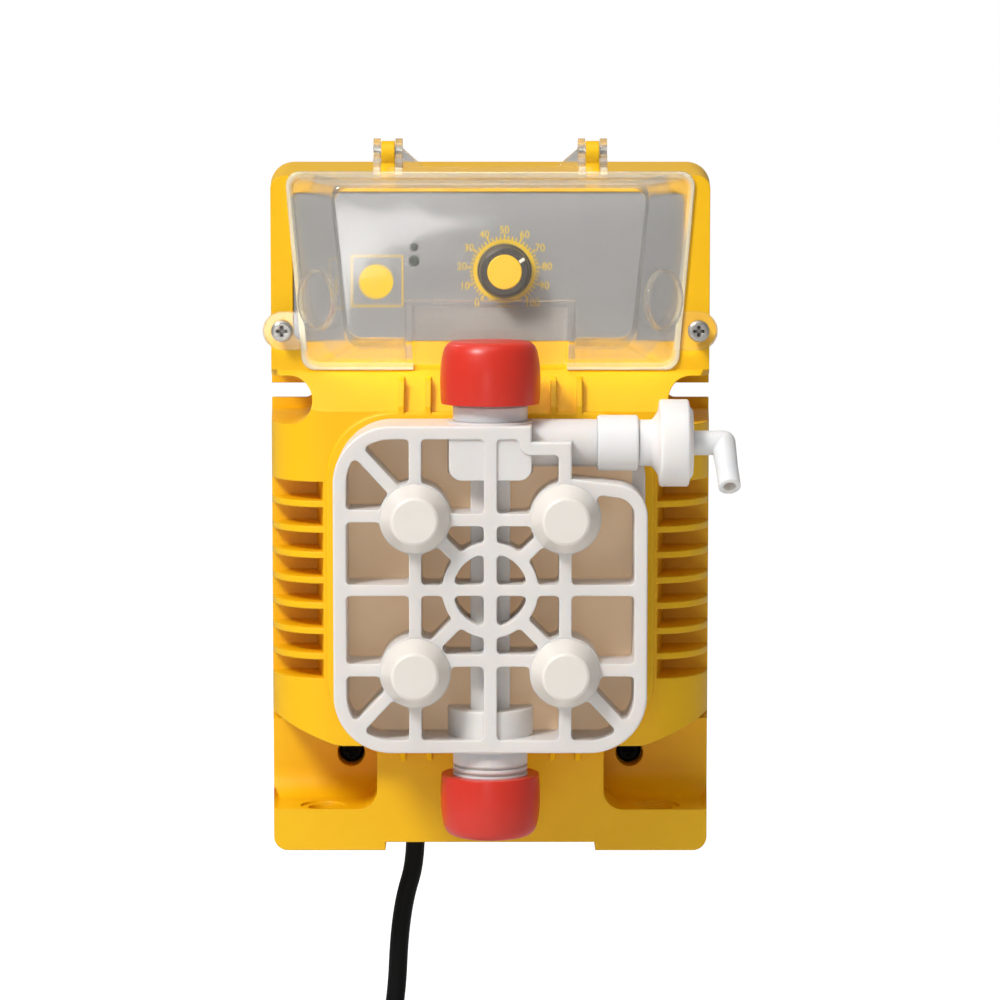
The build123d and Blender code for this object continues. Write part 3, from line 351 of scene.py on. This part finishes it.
dress(moulded("glass_epoxy_solder_masked", "#1B5B33", "#154A2A", 0.3, grain_mm=0.3), "circuit_board")
dress(moulded("polyamide_moulded_green", "#2A7A3C", "#226733", 0.42), "terminal_block")
dress(moulded("pvc_sleeve_shrunk_blue", "#1B2A4C", "#15213C", 0.3), "smoothing_capacitor")
dress(moulded("cement_cast_white", "#CFCBC2", "#BDB8AD", 0.8, grain_mm=0.9, relief_mm=0.06),
      "power_resistor")

# ---------------------------------------------------------------- control panel
# Stamped aluminium panel, anodised grey and screen-printed in yellow, glued into a recess of the
# case. Two dark green pilot lights stand in it.

PANEL_FACE = -0.0595
PRINT_THICK = 0.00008
DIAL_CENTRE = (0.00405, 0.0381)
RING_INNER = 0.0078
RING_OUTER = 0.0089
TICK_COUNT = 41
TICK_START = 0.0088
TICK_HALF_WIDTH = 0.00022
SHORT_TICK_HALF = 0.00055
LONG_TICK_HALF = 0.0009
TICK_STEP = 7
SCALE_HALF_SWEEP = 140
NUMBER_SIZE = 0.0029
NUMBER_STEP = 28
NUMBERS_HALF_WIDTH = 0.0122
NUMBERS_HALF_HEIGHT = 0.0116
SEAL_CENTRE = (-0.0325, 0.0350)
SEAL_RADIUS = 0.0049
FRAME_CENTRE = (-0.0322, 0.0352)
FRAME_HALF = 0.0072
FRAME_RISE = 0.0071
FRAME_LINE_HALF = 0.00016

film, tree = new_material("aluminium_anodised_grey")
place = add(tree, "ShaderNodeTexCoord").outputs["Object"]
speckle = add(tree, "ShaderNodeTexNoise", {"Vector": place, "Scale": 1400.0, "Detail": 3.0})
cloud = add(tree, "ShaderNodeTexNoise", {"Vector": place, "Scale": 60.0, "Detail": 4.0})
mottle = add(tree, "ShaderNodeMix", {0: cloud.outputs["Fac"], 6: linear("#7F8185"), 7: linear("#929498")},
             data_type="RGBA")
tone = add(tree, "ShaderNodeMix", {0: speckle.outputs["Fac"], 6: mottle.outputs[2], 7: linear("#9A9CA0")},
           data_type="RGBA")
relief = add(tree, "ShaderNodeBump", {"Strength": 0.3, "Distance": 0.00001,
                                      "Height": speckle.outputs["Fac"]})
surface = add(tree, "ShaderNodeBsdfPrincipled", {"Base Color": tone.outputs[2], "Metallic": 0.15,
                                                 "Roughness": 0.5, "Normal": relief.outputs["Normal"]})
add(tree, "ShaderNodeOutputMaterial", {"Surface": surface.outputs["BSDF"]})
dress(film, "control_panel")
dress(moulded("acrylic_moulded_dark_green", "#2A3A32", "#222F29", 0.18), "indicator_lights")


def finish_mesh(name, shape, material, body):
    """A finished bmesh becomes a piece that rides on a body."""
    bmesh.ops.recalc_face_normals(shape, faces=shape.faces)
    data = bpy.data.meshes.new(name)
    shape.to_mesh(data)
    shape.free()
    data.materials.append(material)
    made = link(name, data)
    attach(made, body)
    return made


def printed_ring(shape, x, z, inner, outer, segments=96):
    """A flat ring of ink on the panel."""
    low = bmesh.ops.create_circle(shape, segments=segments, radius=inner)["verts"]
    high = bmesh.ops.create_circle(shape, segments=segments, radius=outer)["verts"]
    edges = {e for v in low + high for e in v.link_edges}
    band = bmesh.ops.bridge_loops(shape, edges=list(edges))["faces"]
    stand(shape, band, x, z)


def stand(shape, faces, x, z):
    """Turns flat faces to the front, gives them the ink's thickness and moves them onto the panel."""
    raised = bmesh.ops.extrude_face_region(shape, geom=faces, use_keep_orig=True)["geom"]
    top = [v for v in raised if isinstance(v, bmesh.types.BMVert)]
    bmesh.ops.translate(shape, vec=(0, 0, PRINT_THICK), verts=top)
    verts = list({v for f in faces for v in f.verts} | set(top))
    bmesh.ops.rotate(shape, cent=(0, 0, 0), matrix=Matrix.Rotation(radians(90), 3, "X"), verts=verts)
    bmesh.ops.translate(shape, vec=(x, PANEL_FACE, z), verts=verts)


# Yellow screen ink, slightly raised and satin
ink = moulded("screen_ink_yellow", "#F0CA08", "#E9C104", 0.5, grain_mm=0.25, edge_mm=0.05)
scale = bmesh.new()
printed_ring(scale, *DIAL_CENTRE, RING_INNER, RING_OUTER)
for i in range(TICK_COUNT):
    tick = bmesh.ops.create_grid(scale, x_segments=1, y_segments=1, size=1.0)["verts"]
    half = SHORT_TICK_HALF if i % 4 else LONG_TICK_HALF
    bmesh.ops.scale(scale, vec=(TICK_HALF_WIDTH, half, 1), verts=tick)
    bmesh.ops.translate(scale, vec=(0, TICK_START + half, 0), verts=tick)
    turn = Matrix.Rotation(radians(SCALE_HALF_SWEEP - TICK_STEP * i), 3, "Z")
    bmesh.ops.rotate(scale, cent=(0, 0, 0), matrix=turn, verts=tick)
    stand(scale, list({f for v in tick for f in v.link_faces}), *DIAL_CENTRE)
# Plain round seal in a thin square frame, at the left of the panel
printed_ring(scale, *SEAL_CENTRE, 0.0001, SEAL_RADIUS, 64)
for half_width, half_height, x, z in ((FRAME_HALF, FRAME_LINE_HALF, 0, FRAME_RISE),
                                      (FRAME_HALF, FRAME_LINE_HALF, 0, -FRAME_RISE),
                                      (FRAME_LINE_HALF, FRAME_HALF, FRAME_HALF, 0),
                                      (FRAME_LINE_HALF, FRAME_HALF, -FRAME_HALF, 0)):
    line = bmesh.ops.create_grid(scale, x_segments=1, y_segments=1, size=1.0)["verts"]
    bmesh.ops.scale(scale, vec=(half_width, half_height, 1), verts=line)
    faces = list({f for v in line for f in v.link_faces})
    stand(scale, faces, FRAME_CENTRE[0] + x, FRAME_CENTRE[1] + z)
finish_mesh("panel_print", scale, ink, "pump")

# Numbers 0 to 100 round the dial, printed with the ring
for i in range(11):
    turn = radians(-SCALE_HALF_SWEEP + NUMBER_STEP * i)
    letters = bpy.data.curves.new("dial_number", "FONT")
    letters.body = str(10 * i)
    letters.size = NUMBER_SIZE
    letters.align_x = "CENTER"
    letters.align_y = "CENTER"
    letters.extrude = PRINT_THICK / 2
    letters.resolution_u = 4
    holder = link(f"dial_number_{10 * i}_outline", letters)
    bpy.context.view_layer.update()
    data = bpy.data.meshes.new_from_object(holder.evaluated_get(bpy.context.evaluated_depsgraph_get()))
    bpy.data.objects.remove(holder)
    shape = bmesh.new()
    shape.from_mesh(data)
    bpy.data.meshes.remove(data)
    bmesh.ops.remove_doubles(shape, verts=shape.verts, dist=0.000001)
    upright = Matrix.Rotation(radians(90), 3, "X")
    bmesh.ops.rotate(shape, cent=(0, 0, 0), matrix=upright, verts=shape.verts)
    x = DIAL_CENTRE[0] + NUMBERS_HALF_WIDTH * sin(turn)
    z = DIAL_CENTRE[1] + NUMBERS_HALF_HEIGHT * cos(turn)
    bmesh.ops.translate(shape, vec=(x, PANEL_FACE - PRINT_THICK / 2, z), verts=shape.verts)
    finish_mesh(f"dial_number_{10 * i}", shape, ink, "pump")

# ---------------------------------------------------------------- dial
# Black knurled ABS knob pushed onto the potentiometer's shaft, with a glued yellow cap. The pointer
# is a moulded groove filled with white enamel.

POINTER_SIZE = (0.0009, 0.0003, 0.0017)
POINTER_PLACE = (0, -0.0685, 0.0059)
POINTER_TURN = 56

dress(moulded("abs_moulded_black", "#37332F", "#2D2A26", 0.42, grain_mm=0.4, relief_mm=0.02, edge_mm=0.3),
      "dial_knob")
dress(moulded("abs_moulded_bright_yellow", "#F9C70A", "#F2BE04", 0.36, edge_mm=0.25), "dial_cap")
pointer = bmesh.new()
mark = bmesh.ops.create_cube(pointer, size=1.0)["verts"]
bmesh.ops.scale(pointer, vec=POINTER_SIZE, verts=mark)
bmesh.ops.bevel(pointer, geom=pointer.edges[:], offset=0.0001, affect="EDGES", segments=2, profile=0.5,
                material=-1)
bmesh.ops.translate(pointer, vec=POINTER_PLACE, verts=pointer.verts)
turn = Matrix.Rotation(radians(POINTER_TURN), 3, "Y")
bmesh.ops.rotate(pointer, cent=(0, 0, 0), matrix=turn, verts=pointer.verts)
bmesh.ops.translate(pointer, vec=(DIAL_CENTRE[0], 0, DIAL_CENTRE[1]), verts=pointer.verts)
enamel = moulded("enamel_filled_white", "#F3EFE2", "#ECE7D8", 0.4, edge_mm=0.05)
finish_mesh("dial_pointer", pointer, enamel, "dial")

# ---------------------------------------------------------------- clear cover
# Clear polycarbonate cover, injection moulded and polished, hinged on two steel pins at the top and
# held by a captive screw at each side. A silicone strip seals it; a clear plate stands in its arch.

STRAIGHT_SHARE = 0.4
HAZE_SHARE = 0.07
SCREW_ROUNDING = 0.0011
# Reach of the painted shade in the screw recesses
SCREW_RECESS_SHADE_REACH = 0.0014
SCREW_COLOUR = "#C4C1BB"

clear, tree = new_material("polycarbonate_moulded_clear")
place = add(tree, "ShaderNodeTexCoord").outputs["Object"]
flow = add(tree, "ShaderNodeTexNoise", {"Vector": place, "Scale": 45.0, "Detail": 2.0})
gloss = add(tree, "ShaderNodeMapRange", {"Value": flow.outputs["Fac"], "From Min": 0.3, "From Max": 0.7,
                                         "To Min": 0.02, "To Max": 0.05})
edge = add(tree, "ShaderNodeBevel", {"Radius": 0.0005}, samples=4)
relief = add(tree, "ShaderNodeBump", {"Strength": 0.15, "Distance": 0.0002, "Height": flow.outputs["Fac"],
                                      "Normal": edge.outputs["Normal"]})
surface = add(tree, "ShaderNodeBsdfPrincipled", {
    "Base Color": linear("#FDFBF7"), "Roughness": gloss.outputs["Result"], "IOR": 1.5,
    "Transmission Weight": 1.0, "Normal": relief.outputs["Normal"]})
haze = add(tree, "ShaderNodeBsdfDiffuse", {"Color": linear("#F2ECE2")})
passed = add(tree, "ShaderNodeBsdfTransparent", {"Color": linear("#FEFDFB")})
veiled = add(tree, "ShaderNodeMixShader", {0: HAZE_SHARE, 1: passed.outputs["BSDF"],
                                           2: haze.outputs["BSDF"]})
body = add(tree, "ShaderNodeMixShader", {0: STRAIGHT_SHARE, 1: surface.outputs["BSDF"],
                                         2: veiled.outputs["Shader"]})
# A clear wall throws almost no shadow
sight = add(tree, "ShaderNodeLightPath")
open_wall = add(tree, "ShaderNodeMixShader", {0: sight.outputs["Is Shadow Ray"], 1: body.outputs["Shader"],
                                              2: passed.outputs["BSDF"]})
add(tree, "ShaderNodeOutputMaterial", {"Surface": open_wall.outputs["Shader"]})
dress(clear, "clear_cover", "splash_shield")
dress(moulded("silicone_extruded_translucent", "#F3EBD6", "#EADFC4", 0.45, grain_mm=0.5, relief_mm=0.02,
              Subsurface_Weight=0.6, Subsurface_Radius=(1.0, 0.8, 0.4), Subsurface_Scale=0.002),
      "cover_gasket")


def part_of(material, kind):
    """The first node of a kind in a material."""
    return next(node for node in material.node_tree.nodes if node.bl_idname == kind)


# Stainless screws: cold-headed, softly domed, with painted shade darkening the driver cross and other
# recesses
screw_steel = machined("stainless_cold_headed", SCREW_COLOUR, 0.3)
tree = screw_steel.node_tree
surface = part_of(screw_steel, "ShaderNodeBsdfPrincipled")
part_of(screw_steel, "ShaderNodeBevel").inputs["Radius"].default_value = SCREW_ROUNDING
# Painted shade: ambient occlusion darkens the base colour towards near black in the cross recess
recess_shade = add(tree, "ShaderNodeAmbientOcclusion", {"Distance": SCREW_RECESS_SHADE_REACH}, samples=6)
tone = add(tree, "ShaderNodeMix", {0: recess_shade.outputs["AO"], 6: linear("#141312"), 7: linear(SCREW_COLOUR)},
           data_type="RGBA")
tree.links.new(tone.outputs[2], surface.inputs["Base Color"])
dress(screw_steel, "cover_screws")

# ---------------------------------------------------------------- pump head
# Ribbed head in natural polypropylene, moulded thick, so light soaks in; its deep cells get a painted warm
# glow, a tan colour and faint emission standing in for light that comes through the thin cell floors.
# Four stainless bolts hold it through the boss, under push-in white caps.

HEAD_Z = -0.0487
CELL_WALL_Y = -0.0835
CELL_FLOOR_Y = -0.0803
CELLS_HALF_WIDTH = 0.0398
CELLS_HALF_HEIGHT = 0.0418
CELL_GLOW = 0.22

head_plastic = moulded("polypropylene_moulded_natural", "#E4E0DD", "#DDD8D4", 0.38, grain_mm=0.9,
                       relief_mm=0.01, edge_mm=0.6, Subsurface_Weight=0.6,
                       Subsurface_Radius=(1.0, 0.72, 0.5), Subsurface_Scale=0.003)
# Painted glow: towards the floor of each cell, within the ribbed area, the colour turns warm tan and a
# faint emission is added, standing in for light through the thinner web
tree = head_plastic.node_tree
surface = part_of(head_plastic, "ShaderNodeBsdfPrincipled")
even = surface.inputs["Base Color"].links[0].from_socket
place = add(tree, "ShaderNodeTexCoord").outputs["Object"]
axes = add(tree, "ShaderNodeSeparateXYZ", {"Vector": place})
depth = add(tree, "ShaderNodeMapRange", {"Value": axes.outputs["Y"], "From Min": CELL_WALL_Y,
                                         "From Max": CELL_FLOOR_Y}, interpolation_type="SMOOTHSTEP")
across = add(tree, "ShaderNodeMath", {0: axes.outputs["X"], 1: 0.0, 2: CELLS_HALF_WIDTH},
             operation="COMPARE")
height = add(tree, "ShaderNodeMath", {0: axes.outputs["Z"], 1: HEAD_Z, 2: CELLS_HALF_HEIGHT},
             operation="COMPARE")
within = add(tree, "ShaderNodeMath", {0: across.outputs[0], 1: height.outputs[0]}, operation="MULTIPLY")
share = add(tree, "ShaderNodeMath", {0: within.outputs[0], 1: depth.outputs["Result"]},
            operation="MULTIPLY")
cell = add(tree, "ShaderNodeTexNoise", {"Vector": place, "Scale": 55.0})
painted_glow_colour = add(tree, "ShaderNodeMix", {0: cell.outputs["Fac"], 6: linear("#E6CCAC"), 7: linear("#D2B592")},
           data_type="RGBA")
tone = add(tree, "ShaderNodeMix", {0: share.outputs[0], 6: even, 7: painted_glow_colour.outputs[2]}, data_type="RGBA")
# Painted glow: emission in the cell floors, though the head is no lamp
glow = add(tree, "ShaderNodeMath", {0: share.outputs[0], 1: CELL_GLOW}, operation="MULTIPLY")
tree.links.new(tone.outputs[2], surface.inputs["Base Color"])
tree.links.new(painted_glow_colour.outputs[2], surface.inputs["Emission Color"])
tree.links.new(glow.outputs[0], surface.inputs["Emission Strength"])
dress(head_plastic, "pump_head", "discharge_fitting", "suction_fitting", "diaphragm_flange")
dress(moulded("polypropylene_moulded_ivory", "#E9E4DC", "#E2DBD2", 0.42, grain_mm=0.7, relief_mm=0.012,
              edge_mm=0.4, Subsurface_Weight=0.2, Subsurface_Radius=(1.0, 0.8, 0.6),
              Subsurface_Scale=0.002), "bolt_caps")
dress(moulded("ptfe_skived_white", "#EDECE8", "#E2E1DC", 0.45), "diaphragm")
dress(moulded("alumina_ground_white", "#F2EEE4", "#EAE5DA", 0.15, grain_mm=0.3), "discharge_ball",
      "suction_ball")

# ---------------------------------------------------------------- port caps
# Closing caps in red polyethylene, moulded soft enough to push over the threads of the two ports.
# They keep dirt out until the hoses are fitted.

dress(moulded("polyethylene_moulded_red", "#D9321F", "#CE2A19", 0.33, grain_mm=0.8, relief_mm=0.012,
              edge_mm=0.5, Subsurface_Weight=0.25, Subsurface_Radius=(1.0, 0.25, 0.12),
              Subsurface_Scale=0.002),
      "discharge_cap", "suction_cap")

# ---------------------------------------------------------------- bleed valve
# Collar, round priming knob and swivelling elbow spout in natural polypropylene, moulded thinner
# than the head, so more light passes. The knob screws into the collar, and the spout clicks into it.

dress(moulded("polypropylene_moulded_milky", "#F1EEEC", "#EAE6E3", 0.34, grain_mm=0.9, relief_mm=0.01,
              edge_mm=0.4, Subsurface_Weight=0.7, Subsurface_Radius=(1.0, 0.8, 0.65),
              Subsurface_Scale=0.005),
      "bleed_valve_body", "bleed_knob", "bleed_nozzle")
